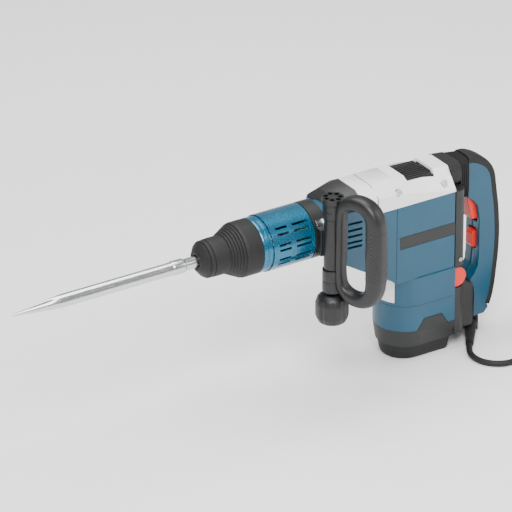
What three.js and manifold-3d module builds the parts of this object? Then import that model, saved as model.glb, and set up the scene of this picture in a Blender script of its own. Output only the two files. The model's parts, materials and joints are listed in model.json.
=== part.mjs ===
// Demolition hammer with a pointed chisel, a pivoting side handle and a sprung D-shaped rear handle.
// Millimetres, +Z up. The origin is the centre of the foot, on the motor's axis; -X is the chisel end.
import * as THREE from "three";
import { ConvexGeometry } from "three/addons/geometries/ConvexGeometry.js";
import { mergeVertices } from "three/addons/utils/BufferGeometryUtils.js";
import Module from "manifold-3d";

const wasm = await Module();
wasm.setup();

// ---- driving dimensions ----
const gap = 0.35; // between pieces that touch
const barrelZ = 249; // height of the hammer's axis
const motorX = -3; // the motor's vertical axis
const bodyHalf = 45.5; // half-width of the housings
const lowerHalf = 47; // the lower motor section stands 1.5 mm proud
const rearX = 58; // rear face of the motor and gear housings
const frontX = -48; // front face of the motor housing's upper part
const noseX = -156; // front face of the front casing
const gearFrontX = -108; // front ring of the silver gear housing
const coverX = 78; // rear face of the rear cover
const seamZ = 266; // seam between blue housing and silver gear housing
const ledgeZ = 141; // top of the proud lower section
const gearFloorZ = 212; // floor of the gear room
const capZ = 52; // seam between motor housing and end cap
const footZ = 24; // top of the rubber foot
const shroudR = 43.7;
const shroudX = [-262.5, -190.7];
const chiselTipX = -687;
const shankR = 9;
const boltX = -171; // vertical bolt of the side handle
const boltY = -58;
const sideAngle = 22; // side handle's rest angle, degrees from -Y towards +X
const pinionTeeth = 10;
const gearTeeth = 40;
const gearModule = 2;
const crankX = motorX - ((pinionTeeth + gearTeeth) * gearModule) / 2;
const cordR = 4.75;
const coilCentre = [252, -65];
const coilR = [41, 76];
const coilHeight = 28;

// ---- materials ----
function paint(color, roughness, metalness = 0) {
  return new THREE.MeshStandardMaterial({ color, roughness, metalness });
}
const blue = paint(0x076587, 0.4);
const blueMetal = paint(0x1e7294, 0.35, 0.4);
const darkPlastic = paint(0x3c3e3b, 0.55);
const blackPlastic = paint(0x232322, 0.5);
const rubber = paint(0x191919, 0.8);
const silver = paint(0xdcdcd8, 0.45, 0.5);
const steel = paint(0xc9cccf, 0.25, 1);
const red = paint(0xe0261a, 0.4);
const white = paint(0xf2f2f0, 0.5);
const copper = paint(0xa8622d, 0.4, 0.8);
const lampGlass = paint(0x8a8f78, 0.2);

// ---- solids ----
// A closed three.js geometry as a manifold solid, facing out.
function solid(geometry) {
  const bare = geometry.index ? geometry.toNonIndexed() : geometry.clone();
  bare.deleteAttribute("normal");
  bare.deleteAttribute("uv");
  const merged = mergeVertices(bare, 1e-4);
  const make = (triVerts) =>
    new wasm.Manifold(
      new wasm.Mesh({ numProp: 3, vertProperties: merged.attributes.position.array, triVerts }),
    );
  const tris = new Uint32Array(merged.index.array);
  const first = make(tris);
  return first.volume() > 0 ? first : make(tris.slice().reverse());
}

function cut(body, ...tools) {
  return tools.reduce((result, tool) => result.subtract(tool), body);
}

function join(...bodies) {
  return bodies.reduce((result, body) => result.add(body));
}

function piece(name, body, material) {
  const made = body.getMesh();
  const geometry = new THREE.BufferGeometry()
    .setAttribute("position", new THREE.BufferAttribute(made.vertProperties, 3))
    .setIndex(new THREE.BufferAttribute(made.triVerts, 1));
  geometry.computeVertexNormals();
  const mesh = new THREE.Mesh(geometry, material);
  mesh.name = name;
  return mesh;
}

function shapeOf(points) {
  return new THREE.Shape(points.map(([a, b]) => new THREE.Vector2(a, b)));
}

// An (x, z) outline extruded from y0 to y1.
function slabY(points, y0, y1) {
  const made = new THREE.ExtrudeGeometry(shapeOf(points), { depth: y1 - y0, bevelEnabled: false });
  return solid(made.rotateX(Math.PI / 2).translate(0, y1, 0));
}

// An (x, y) outline extruded from z0 to z1.
function slabZ(points, z0, z1) {
  const made = new THREE.ExtrudeGeometry(shapeOf(points), { depth: z1 - z0, bevelEnabled: false });
  return solid(made.translate(0, 0, z0));
}

function box(x, y, z) {
  const size = [x, y, z].map(([low, high]) => high - low);
  const centre = [x, y, z].map(([low, high]) => (low + high) / 2);
  return solid(new THREE.BoxGeometry(...size).translate(...centre));
}

function hull(points) {
  return solid(new ConvexGeometry(points.map((p) => new THREE.Vector3(...p))));
}

// A closed profile of [radius, height] pairs turned about Z.
function turned(profile, segments = 24) {
  const points = profile.map(([r, h]) => new THREE.Vector2(r, h));
  if (profile[0][0] > 0) points.push(points[0].clone());
  return solid(new THREE.LatheGeometry(points, segments).rotateX(Math.PI / 2));
}

// A closed profile of [radius, x] pairs turned about X; a group carries it up to the barrel's axis.
function turnedX(profile, segments = 28) {
  const points = profile.map(([r, h]) => new THREE.Vector2(r, h));
  if (profile[0][0] > 0) points.push(points[0].clone());
  return solid(new THREE.LatheGeometry(points, segments).rotateZ(-Math.PI / 2));
}

function tubeX(inner, outer, x0, x1, segments) {
  return turnedX([[inner, x0], [outer, x0], [outer, x1], [inner, x1]], segments);
}

function rodX(r, x0, x1, segments) {
  return turnedX([[0, x0], [r, x0], [r, x1], [0, x1]], segments);
}

function rod(r, z0, z1, segments) {
  return turned([[0, z0], [r, z0], [r, z1], [0, z1]], segments);
}

function ring(inner, outer, z0, z1, segments) {
  return turned([[inner, z0], [outer, z0], [outer, z1], [inner, z1]], segments);
}

function mirrored(body) {
  return body.mirror([0, 1, 0]);
}

// A round-fronted outline: an arc of radius r about the motor's axis, then straight sides to rearX.
function roundFront(r, back, steps = 20) {
  const arc = Array.from({ length: steps + 1 }, (_, i) => {
    const a = Math.PI / 2 + (Math.PI * i) / steps;
    return [motorX + r * Math.cos(a), r * Math.sin(a)];
  });
  return [...arc, [back, -r], [back, r]];
}

// A rectangle with rounded corners as [a, b] points.
function rounded(a0, a1, b0, b1, r, steps = 5) {
  const corners = [[a1 - r, b1 - r, 0], [a0 + r, b1 - r, 1], [a0 + r, b0 + r, 2], [a1 - r, b0 + r, 3]];
  return corners.flatMap(([a, b, turn]) =>
    Array.from({ length: steps + 1 }, (_, i) => {
      const angle = (Math.PI / 2) * (turn + i / steps);
      return [a + r * Math.cos(angle), b + r * Math.sin(angle)];
    }),
  );
}

// A wire of radius r wound round the X axis.
function coilSpring(radius, wire, x0, x1, turns) {
  const steps = turns * 12;
  const points = Array.from({ length: steps + 1 }, (_, i) => {
    const a = (2 * Math.PI * i * turns) / steps;
    return new THREE.Vector3(x0 + ((x1 - x0) * i) / steps, radius * Math.cos(a), radius * Math.sin(a));
  });
  return sweep(points, wire, 6, steps);
}

function sweep(points, r, sides, steps) {
  const section = new THREE.Shape(
    Array.from({ length: sides }, (_, i) => {
      const a = (2 * Math.PI * i) / sides;
      return new THREE.Vector2(r * Math.cos(a), r * Math.sin(a));
    }),
  );
  const extrudePath = new THREE.CatmullRomCurve3(points, false, "centripetal");
  return solid(new THREE.ExtrudeGeometry(section, { steps, extrudePath, bevelEnabled: false }));
}

// ---- the barrel and everything on its axis; built about X and carried up by a group ----
const barrel = new THREE.Group();
barrel.position.z = barrelZ;

function chisel() {
  const pointStart = -600;
  const collar = [-414, -393];
  const bodyR = 10;
  const body = turnedX(
    [[0, pointStart], [bodyR, pointStart], [bodyR, collar[0]], [11, collar[0] + 2], [11, collar[1] - 2],
      [shankR, collar[1]], [shankR, -321], [shankR - 2, -318], [0, -318]], 16);
  const end = Array.from({ length: 16 }, (_, i) => {
    const a = (2 * Math.PI * i) / 16;
    return [pointStart + 0.5, bodyR * Math.cos(a), bodyR * Math.sin(a)];
  });
  const tip = [[1.4, 1.4], [-1.4, 1.4], [-1.4, -1.4], [1.4, -1.4]].map(([y, z]) => [chiselTipX, y, z]);
  const shoulder = [[9.4, 0], [-9.4, 0], [0, 7.4], [0, -7.4]].map(([y, z]) => [-628, y, z]);
  const point = hull([...end, ...shoulder, ...tip]);
  return piece("chisel", join(body, point), steel);
}

function dustCap() {
  const profile = [[9.6, -371], [14, -372], [18, -369.5], [27, -362], [28.5, -359], [28.5, -353.6],
    [20.6, -353.6], [20.6, -362], [9.6, -366]];
  return piece("dust_cap", turnedX(profile, 28), rubber);
}

function toolHolder() {
  const profile = [[shankR + 0.4, -361], [20, -361], [20, -284], [34, -284], [34, -280], [24, -280],
    [24, -264.5], [12.4, -264.5], [12.4, -316], [shankR + 0.4, -316]];
  return piece("tool_holder", turnedX(profile, 24), steel);
}

function lockingSleeve() {
  const ribs = 6;
  const cone = Array.from({ length: ribs }, (_, i) => {
    const x = -328 + (24 * i) / ribs;
    const r = 29 + (12 * (i + 1)) / ribs;
    return [[r - 2, x + 0.6], [r, x + 1.2], [r, x + 3.6]];
  }).flat();
  const profile = [[20.6, -353.2], [29, -353.2], [29, -328.4], ...cone, [42, -303], [42, -278.3],
    [36, -278.3], [36, -303], [28.2, -325.5], [20.6, -325.5]]; // the inner wall follows the cone
  return piece("locking_sleeve", turnedX(profile, 32), rubber);
}

function lockingSpring() {
  return piece("locking_spring", coilSpring(26, 1.6, -323.2, -287, 4), steel);
}

function sleeveCollar() {
  return piece("sleeve_collar", tubeX(37, 42, -278, -262.9, 32), blueMetal);
}

function barrelShroud() {
  const [x0, x1] = shroudX;
  const profile = [[42.4, x0], [shroudR, x0], [shroudR, x1], [41, x1], [41, x0 + 12], [42.4, x0 + 12]];
  let body = turnedX(profile, 40);
  const rows = [48, 35, 14, 3.5, -17, -30]; // degrees above the horizontal
  const columns = [[x0 + 10, x0 + 30], [x0 + 39, x0 + 65]];
  for (const side of [-1, 1])
    for (const row of rows)
      for (const [a, b] of columns) {
        const slot = new THREE.BoxGeometry(b - a, 8, 3.4).translate((a + b) / 2, side * 43, 0);
        body = body.subtract(solid(slot.rotateX((side * row * Math.PI) / 180)));
      }
  return piece("barrel_shroud", body, blueMetal);
}

function hammerTube() {
  return piece("hammer_tube", tubeX(20.5, 26, -262.5, -96, 24), steel);
}

function impactBolt() {
  const profile = [[0, -313], [8, -313], [12, -309], [12, -275], [9, -272], [9, -266], [0, -266]];
  return piece("impact_bolt", turnedX(profile, 20), steel);
}

// At rest the striker is forward, against the impact bolt, and the piston is at the rear of its stroke.
function striker() {
  const profile = [[0, -259], [10, -259], [10, -251], [20, -249], [20, -219], [0, -219]];
  return piece("striker", turnedX(profile, 20), steel);
}

function piston() {
  const profile = [[0, -184], [20, -184], [20, -150], [15, -150], [15, -176], [0, -176]];
  return piece("piston", turnedX(profile, 20), steel);
}

// The rod ends short of the crank pin's circle, so that the gear can turn on its own.
function conrod() {
  return piece("conrod", box([-175, -74], [-5, 5], [-4, 4]), steel);
}

// A gear of trapezoid teeth about Z with its first tooth (or gap) facing angle start.
function gearSolid(teeth, z0, z1, start) {
  const pitch = (teeth * gearModule) / 2;
  const [root, top] = [pitch - 2.5, pitch + 1.5];
  const step = (2 * Math.PI) / teeth;
  const points = Array.from({ length: teeth }, (_, i) => {
    const a = start + i * step;
    return [[root, -0.27], [top, -0.11], [top, 0.11], [root, 0.27]].map(([r, share]) => {
      const b = a + share * step;
      return [r * Math.cos(b), r * Math.sin(b)];
    });
  }).flat();
  return slabZ(points, z0, z1);
}

function crankGear() {
  const gear = gearSolid(gearTeeth, 222, 232, Math.PI / gearTeeth);
  const web = rod(16, 231, 240, 20);
  const pin = solid(new THREE.CylinderGeometry(5, 5, 18, 16).rotateX(Math.PI / 2).translate(11, 0, 247));
  const shaft = rod(8, 213, 223, 16);
  const mesh = piece("crank_gear", join(gear, web, pin, shaft), steel);
  mesh.position.x = crankX;
  return mesh;
}

// ---- motor ----
function armature() {
  const profile = [[0, 44], [5, 44], [5, 58], [14, 58], [14, 78], [8, 80], [8, 88], [23, 88], [23, 150],
    [8, 152], [8, 164], [34, 164], [34, 167], [10, 176], [6, 176], [6, 221], [0, 221]];
  const pinion = gearSolid(pinionTeeth, 220.5, 234, 0);
  const mesh = piece("armature", join(turned(profile, 24), pinion), copper);
  mesh.position.x = motorX;
  return mesh;
}

function stator() {
  const mesh = piece("stator", ring(24.2, 38, 90, 148, 28), steel);
  mesh.position.x = motorX;
  return mesh;
}

function bearing(name, inner, z0, z1) {
  const mesh = piece(name, ring(inner, 13, z0, z1, 20), steel);
  mesh.position.x = motorX;
  return mesh;
}

function bearingFlange() {
  const plate = box([-96, rearX - 5], [-40.8, 40.8], [gearFloorZ + gap, gearFloorZ + 6]);
  const motorHole = rod(13.4, 200, 230, 20).translate([motorX, 0, 0]);
  const crankHole = rod(8.5, 200, 230, 20).translate([crankX, 0, 0]);
  return piece("bearing_flange", cut(plate, motorHole, crankHole), silver);
}

function brushHolder(name, side) {
  const block = box([motorX - 6, motorX + 6], [14.6, 38], [61, 76]);
  return piece(name, side < 0 ? mirrored(block) : block, copper);
}

function electronicsModule() {
  return piece("electronics_module", box([60, 73], [-30, 30], [140, 235]), darkPlastic);
}

// ---- housings ----
const capStep = [[-10, 40], [-10, capZ], [2, 70], [34, 70], [45, capZ], [45, 40]]; // (x, z) of the raised tab

function motorHousing() {
  const lower = slabZ(roundFront(lowerHalf, rearX - gap), capZ, ledgeZ);
  const upper = slabZ(rounded(frontX, rearX - gap, -bodyHalf, bodyHalf, 2), ledgeZ - 1, seamZ - gap);
  const lowerRoom = slabZ(roundFront(lowerHalf - 4.2, rearX - 4), capZ - 1, seamZ + 1);
  const upperRoom = box([frontX - 1, rearX - 4], [-bodyHalf + 4, bodyHalf - 4], [gearFloorZ, seamZ + 1]);
  const wheelRoom = box([45, rearX], [-44.5, -35], [104, 138]);
  const stripe = [1, -1].map((s) =>
    box([-42, rearX + 1], [s * 44, s * 50].sort((a, b) => a - b), [195.4, 215.4]));
  const tabs = slabY(capStep.map(([x, z]) => [x, z + gap]), -60, 60);
  const body = cut(join(lower, upper), lowerRoom, upperRoom, wheelRoom, ...stripe, tabs);
  return piece("motor_housing", body, blue);
}

function sideTrim(name, side) {
  const strip = box([-41.6, rearX - gap], [44.3, bodyHalf], [195.8, 215]);
  return piece(name, side < 0 ? mirrored(strip) : strip, darkPlastic);
}

// A wedge that narrows towards the nose, with a round neck that runs on into the barrel.
function frontCasing() {
  const side = [[noseX, 207], [noseX, 281], [gearFrontX - gap, 281], [gearFrontX - gap, seamZ - gap],
    [frontX - gap, seamZ - gap], [frontX - gap, 143]];
  const block = slabY(side, -bodyHalf, bodyHalf);
  const plan = [[noseX, -36], [noseX + 8, -42], [-112, -bodyHalf], [frontX, -bodyHalf], [frontX, bodyHalf],
    [-112, bodyHalf], [noseX + 8, 42], [noseX, 36]];
  const body = block.intersect(slabZ(plan, 100, 300));
  const neck = rodX(39.4, -200, noseX + 1, 32).translate([0, 0, barrelZ]);
  const bore = rodX(26.4, -201, frontX, 24).translate([0, 0, barrelZ]);
  const inHalf = bodyHalf - 4;
  const roomSide = [[-150, 212], [-150, 277], [frontX + 1, 277], [frontX + 1, 149]];
  const roomPlan = [[-150, -33], [-140, -38], [-112, -inHalf], [frontX + 1, -inHalf], [frontX + 1, inHalf],
    [-112, inHalf], [-140, 38], [-150, 33]];
  const room = slabY(roomSide, -inHalf, inHalf).intersect(slabZ(roomPlan, 100, 300));
  const slots = [-26, -18, -8, 2, 13].map((dz) =>
    box([-134, -110], [-60, 60], [barrelZ + dz - 1.7, barrelZ + dz + 1.7]));
  return piece("front_casing", cut(join(body, neck), bore, room, ...slots), blue);
}

// Octagonal section of the gear housing: [half-width, z] from the seam to the crown.
const gearSections = [
  [gearFrontX, [[44.5, seamZ], [44.5, 292], [22, 304.5]]],
  [-40, [[bodyHalf, seamZ], [bodyHalf, 288], [22, 304.5]]],
  [30, [[bodyHalf, seamZ], [bodyHalf, 274], [22, 302]]],
  [rearX - gap, [[bodyHalf, seamZ], [bodyHalf, 269], [22, 300]]],
];

function sectionPoints(x, outline, inset) {
  return outline.flatMap(([y, z]) => {
    const inside = z === seamZ ? z - (inset ? 1 : 0) : z - inset;
    return [[x, y - inset, inside], [x, inset - y, inside]];
  });
}

function loftHull(sections, inset, from, to) {
  const parts = sections.slice(1).map(([x, outline], i) => {
    const [x0, outline0] = sections[i];
    const start = i === 0 ? x0 + from : x0 - 0.01;
    const end = i === sections.length - 2 ? x - to : x;
    return hull([...sectionPoints(start, outline0, inset), ...sectionPoints(end, outline, inset)]);
  });
  return join(...parts);
}

const screwPlaces = [[-43, 289], [41, 282]]; // (x, z) of the gear housing's screws on each side

function gearHousing() {
  const outer = loftHull(gearSections, 0, 0, 0);
  const inner = loftHull(gearSections, 4, -1, 4);
  const recess = slabY([[-24, 320], [-20, 293], [28, 290], [33, 320]], -30, 30);
  const pockets = screwPlaces.flatMap(([x, z]) =>
    [1, -1].map((s) => solid(new THREE.CylinderGeometry(6, 6, 16, 16).translate(x, s * 45, z))));
  const bosses = screwPlaces.flatMap(([x, z]) =>
    [1, -1].map((s) => solid(new THREE.CylinderGeometry(9, 9, 13, 16).translate(x, s * 34.5, z))));
  const skin = cut(outer, inner);
  const body = join(skin, ...bosses.map((b) => b.intersect(outer)));
  const floor = box([-24, 33], [-36, 36], [284, 289]).intersect(outer);
  return piece("gear_housing", cut(join(body, floor), recess, ...pockets), silver);
}

function gearScrew(name, [x, z], side) {
  const head = solid(new THREE.CylinderGeometry(5, 5, 3, 16).translate(x, side * 39, z));
  const hex = solid(new THREE.CylinderGeometry(2.4, 2.4, 3, 6).translate(x, side * 40.5, z));
  return piece(name, cut(head, hex), steel);
}

function topVentInsert() {
  const block = slabY([[-20.6, 301.5], [-19.4, 293.4], [27.6, 290.4], [28.9, 299.5]], -29.6, 29.6);
  const roof = loftHull(gearSections, 3, 0, 0);
  return piece("top_vent_insert", block.intersect(roof), blackPlastic);
}

function noseCover() {
  const front = [[noseX + 2, 40, 281.4], [noseX + 5, 36, 286], [-141, 22, 298.5]];
  const backX = gearFrontX - gap;
  const back = [[backX, 44.5, 281.4], [backX, 44.5, 292], [backX, 22, 304.5]];
  const body = hull([...front, ...back].flatMap(([x, y, z]) => [[x, y, z], [x, -y, z]]));
  return piece("nose_cover", body, darkPlastic);
}

function motorEndCap() {
  const top = roundFront(lowerHalf, rearX - gap).map(([x, y]) => [x, y, capZ - gap]);
  const bottom = roundFront(lowerHalf - 4, rearX - gap).map(([x, y]) => [x, y, footZ + gap]);
  const shell = hull([...top, ...bottom]);
  const tabs = slabZ(roundFront(lowerHalf, rearX - gap), capZ - 1, 69.6).intersect(
    slabY(capStep.map(([x, z]) => [x + (x > 20 ? -0.7 : 0.7), z - 0.1]), -60, 60));
  const room = slabZ(roundFront(lowerHalf - 8, rearX - 8), footZ + 5, 90);
  return piece("motor_end_cap", cut(join(shell, tabs), room), darkPlastic);
}

function baseFoot() {
  const levels = [[40.5, 54, footZ], [37, 52.5, 6], [35.5, 51.5, 2], [33.5, 50, 0]]; // [radius, back, z]
  const points = levels.flatMap(([r, back, z]) => roundFront(r, back).map(([x, y]) => [x, y, z]));
  return piece("base_foot", hull(points), rubber);
}

const wheelCentre = [63.5, -40.3, 121]; // the speed wheel's centre
const wheelR = 15.8;

function rearCover() {
  const corner = 12;
  const rear = Array.from({ length: 7 }, (_, i) => {
    const a = (Math.PI / 12) * i;
    return [coverX - corner + corner * Math.cos(a), 46 - corner + corner * Math.sin(a)];
  });
  const plan = [[rearX, 46], [rearX, -46], ...rear.map(([x, y]) => [x, -y]).reverse(), ...rear];
  const body = slabZ(plan, 27, seamZ - gap);
  const room = box([rearX - 1, coverX - 4], [-33, 33], [139, 250]);
  const [, wy, wz] = wheelCentre;
  const slot = box([rearX - 1, coverX + 1], [wy - 10, wy + 4.6], [wz - 17, wz + 17]);
  return piece("rear_cover", cut(body, room, slot), darkPlastic);
}

function speedWheel() {
  const [x, y, z] = wheelCentre;
  const wheel = new THREE.CylinderGeometry(wheelR, wheelR, 7.4, 28).translate(x, y, z);
  const axle = solid(new THREE.CylinderGeometry(3, 3, 8, 12).translate(x, y, z));
  return piece("speed_wheel", join(solid(wheel), axle), red);
}

function serviceLamp() {
  const lens = new THREE.CylinderGeometry(3.5, 3, 1.2, 16).rotateX(Math.PI);
  return piece("service_lamp", solid(lens.translate(67, -46 - gap - 0.6, 151)), lampGlass);
}

function ratingLabel() {
  const outer = slabZ(roundFront(lowerHalf + 0.8, rearX, 64), 100, 136.5);
  const inner = slabZ(roundFront(lowerHalf + 0.4, rearX, 64), 90, 140);
  const band = box([-60, -40.1], [-29.4, -2], [100, 136.5]);
  return piece("rating_label", cut(outer, inner).intersect(band), white);
}

function mountBlock() {
  const side = [[coverX + gap, 27], [coverX + gap, 108], [84, 106], [100, 95], [100, 31], [97, 27]];
  return piece("handle_mount_block", slabY(side, -35, 35), blackPlastic);
}

function lowerBellows() {
  return piece("lower_bellows", box([100.4, 104.6], [-32, 32], [31, 94]), rubber);
}

function upperBellows() {
  const at = (x, half, z0, z1) => rounded(-half, half, z0, z1, 10, 3).map(([y, z]) => [x, y, z]);
  const outer = hull([...at(rearX + 0.2, 33, 240, 299.6), ...at(97.8, 22, 232, 300)]);
  const inner = hull([...at(rearX - 1, 29, 244, 295), ...at(99, 19, 236, 296)]);
  const cover = box([rearX - 2, coverX + gap], [-60, 60], [200, seamZ]);
  return piece("upper_bellows", cut(outer, inner, cover), rubber);
}

// ---- rear handle ----
const gripOuter = [[99.6, 301], [112, 299.5], [129, 291], [142, 279], [150, 262], [154, 235], [158, 205],
  [160.5, 167], [159.5, 130], [157, 105], [154, 80], [150, 58], [145, 42]]; // (x, z) down the back
const gripThick = 7;

// The back's outline moved inwards by a distance.
function backLine(inwards, count = 24) {
  const curve = new THREE.SplineCurve(gripOuter.map(([x, z]) => new THREE.Vector2(x, z)));
  return Array.from({ length: count + 1 }, (_, i) => {
    const p = curve.getPoint(i / count);
    const t = curve.getTangent(i / count);
    return [p.x + inwards * t.y, p.y - inwards * t.x];
  });
}

const triggerOutline = [[101.5, 232], [104, 238], [112, 246], [122, 246], [124, 189], [111.5, 190]];
const lockOutline = [[116.5, 141], [114, 146], [114, 163], [116.5, 168], [124, 168], [124, 141]];

function handleHalf() {
  const back = backLine(gripThick).filter(([, z]) => z < 294);
  const outline = [[99, 294], ...back, [140, 38], [132, 29], [105.2, 29], [105.2, 92],
    [112, 100], [119, 112], [121, 135], [121, 190], [117, 215], [107, 227], [99, 232]];
  const body = slabY(outline, gap / 2, 18);
  const triggerRoom = slabY([[90, 226], [96, 250], [128, 250], [131, 184], [90, 184]], -1, 11.5);
  const lockRoom = slabY([[100, 138], [100, 171], [130, 171], [130, 138]], -1, 9);
  return cut(body, triggerRoom, lockRoom);
}

function handleShell(name, side) {
  const half = handleHalf();
  return piece(name, side < 0 ? mirrored(half) : half, blue);
}

function softGrip() {
  const outer = backLine(0);
  const inner = backLine(gripThick - gap).reverse();
  return piece("handle_soft_grip", slabY([...outer, ...inner], -17, 17), rubber);
}

function trigger() {
  return piece("trigger", slabY(triggerOutline, -10.5, 10.5), red);
}

function lockButton() {
  return piece("lock_button", slabY(lockOutline, -8, 8), red);
}

function damperSpring() {
  return piece("damper_spring", coilSpring(9, 1.5, 62, 95, 5).translate([0, 0, 282]), steel);
}

// ---- side handle: a group turned about the bolt holds the loop ----
function clampBand() {
  const band = tubeX(39.9, 43.4, -189, -167, 36).translate([0, 0, barrelZ]);
  return piece("clamp_band", band, blackPlastic);
}

function clampSaddle() {
  const barrelPart = rod(13, 208.4, 291.2, 24).translate([boltX, boltY, 0]);
  const web = box([-187, -160], [-52, -30], [228, 270]);
  const bandRoom = rodX(43.8, -200, -150, 36).translate([0, 0, barrelZ]);
  const boltRoom = rod(5.4, 200, 300, 16).translate([boltX, boltY, 0]);
  return piece("clamp_saddle", cut(join(barrelPart, web), bandRoom, boltRoom), blackPlastic);
}

function clampBolt() {
  const shank = rod(5, 142, 317, 16);
  const head = rod(17, 316.4, 324.5, 28);
  const spokes = 7;
  const recesses = Array.from({ length: spokes }, (_, i) => {
    const a = (2 * Math.PI * (i + 0.5)) / spokes;
    return rod(4, 320, 330, 10).translate([11 * Math.cos(a), 11 * Math.sin(a), 0]);
  });
  const mesh = piece("clamp_bolt", cut(join(shank, head), ...recesses), blackPlastic);
  mesh.position.set(boltX, boltY, 0);
  return mesh;
}

const sideHandle = new THREE.Group();
sideHandle.position.set(boltX, boltY, 0);
sideHandle.rotation.z = ((sideAngle - 90) * Math.PI) / 180;

// The loop in its own (x, z) plane: x runs from the bolt to the grip.
function sideFrame() {
  const outer = [[-15, 315.6], [-15, 292], [15, 291.6], [15, 207.9], [-15, 207.6], [-15, 172], [0, 169],
    [27, 169], [36, 163], [52, 160], [70, 163], [84, 171], [90, 184], [84, 196], [84, 302], [90, 314],
    [84, 327], [70, 335], [52, 338.5], [35, 335], [23, 328], [18.5, 319], [17.5, 315.6]];
  const window = [[27, 192], [36, 186], [50, 183], [60, 186], [69, 200], [69, 298], [60, 312], [50, 315],
    [36, 312], [27, 306]];
  const plate = cut(slabY(outer, -11, 11), slabY(window, -20, 20));
  const knuckles = [[292, 315.6], [171, 207.6]].map(([z0, z1]) => rod(15, z0, z1, 24));
  const trimmed = plate.subtract(box([-20, 0], [-20, 20], [160, 330]));
  const boltRoom = rod(5.4, 150, 340, 16);
  const saddleRoom = rod(13.8, 207.7, 291.9, 24);
  return piece("side_handle_frame", cut(join(trimmed, ...knuckles), boltRoom, saddleRoom), blackPlastic);
}

function sideGrip() {
  const body = slabZ(rounded(61, 93, -15.5, 15.5, 12, 4), 201, 297);
  const core = box([68.6, 84.5], [-11.4, 11.4], [190, 310]);
  return piece("side_grip", cut(body, core), rubber);
}

function sideKnob() {
  const profile = [[0, 118], [14, 118.5], [21, 122], [25, 131], [25, 152], [22, 161], [16, 166], [12, 167.6],
    [5.4, 167.6], [5.4, 141], [0, 141]];
  const mesh = piece("side_knob", turned(profile, 28), blackPlastic);
  mesh.position.set(boltX, boltY, 0);
  return mesh;
}

// ---- cord: the sleeve and the cord lie on the floor under the rear block ----
const exitPoint = new THREE.Vector3(113, -11, 14.5);
const exitWay = new THREE.Vector3(-0.594, -0.804, -0.1).normalize();
const sleeveLength = 58;
const sleeveEnd = exitPoint.clone().addScaledVector(exitWay, sleeveLength);
const cordRoute = [
  [sleeveEnd.x, sleeveEnd.y, sleeveEnd.z], [72.8, -65.4, 7.6], [66, -79.4, 6], [64.9, -95.4, 5],
  [69.5, -110, 4.8], [79, -122, 4.8], [92.2, -129.8, 4.8], [106.6, -132.3, 4.8], [128, -133.2, 4.8],
  [150, -134.6, 4.8], [175, -136, 4.8], [200, -136.5, 4.8], [216.5, -136.5, 4.8]]; // down the free stretch

function cordGland() {
  const neck = box([88, 126], [2, 13], [8, 26.6]);
  const along = exitWay.clone().setZ(0).normalize();
  const across = new THREE.Vector3(-along.y, along.x, 0);
  const corner = (d, w, z) => exitPoint.clone().addScaledVector(along, d).addScaledVector(across, w).setZ(z);
  const corners = [-18, -3].flatMap((d) =>
    [-11, 11].flatMap((w) => [3, 26.6].map((z) => corner(d, w, z).toArray())));
  return piece("cord_gland", join(neck, hull(corners)), blackPlastic);
}

// A round piece of given [distance, radius] rings along a straight line from a point.
function tapered(from, way, rings, sides) {
  const across = new THREE.Vector3(-way.y, way.x, 0).normalize();
  const up = new THREE.Vector3().crossVectors(way, across);
  const points = rings.flatMap(([d, r]) =>
    Array.from({ length: sides }, (_, i) => {
      const a = (2 * Math.PI * i) / sides;
      const p = from.clone().addScaledVector(way, d);
      p.addScaledVector(across, r * Math.cos(a)).addScaledVector(up, r * Math.sin(a));
      return [p.x, p.y, p.z];
    }));
  return hull(points);
}

function strainRelief() {
  const rings = [[1.8, 9.5], [sleeveLength - gap, 6]];
  return piece("strain_relief_sleeve", tapered(exitPoint, exitWay, rings, 16), rubber);
}

function powerCord() {
  const points = cordRoute.map((p) => new THREE.Vector3(...p));
  return piece("power_cord", sweep(points, cordR, 8, 34), rubber);
}

function cordCoil() {
  const [r0, r1] = coilR;
  const profile = [[r0, 0.3], [r1, 0.3], [r1, coilHeight - 8], [r1 - 8, coilHeight], [r0 + 6, coilHeight],
    [r0, coilHeight - 8]];
  const mesh = piece("cord_coil", turned(profile, 32), rubber);
  mesh.position.set(...coilCentre, 0);
  return mesh;
}

// A flat two-pin plug lying on the coil.
function powerPlug() {
  const z = coilHeight + 0.4;
  const level = (x, half, z0, z1) => rounded(-half, half, z0, z1, 5, 3).map(([y, h]) => [x, y, h]);
  const rings = [[-26, 8, z + 4, z + 20], [-6, 17.5, z, z + 25], [14, 17.5, z, z + 25],
    [17, 16, z + 1.5, z + 23.5]];
  const body = hull(rings.flatMap((ring) => level(...ring)));
  const pins = [-9.5, 9.5].map((y) =>
    solid(new THREE.CylinderGeometry(2.4, 2.4, 20, 10).rotateZ(Math.PI / 2).translate(26, y, z + 12.5)));
  const mesh = piece("power_plug", join(body, ...pins), rubber);
  mesh.position.set(coilCentre[0] - 2, coilCentre[1] - 50, 0);
  return mesh;
}

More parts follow.
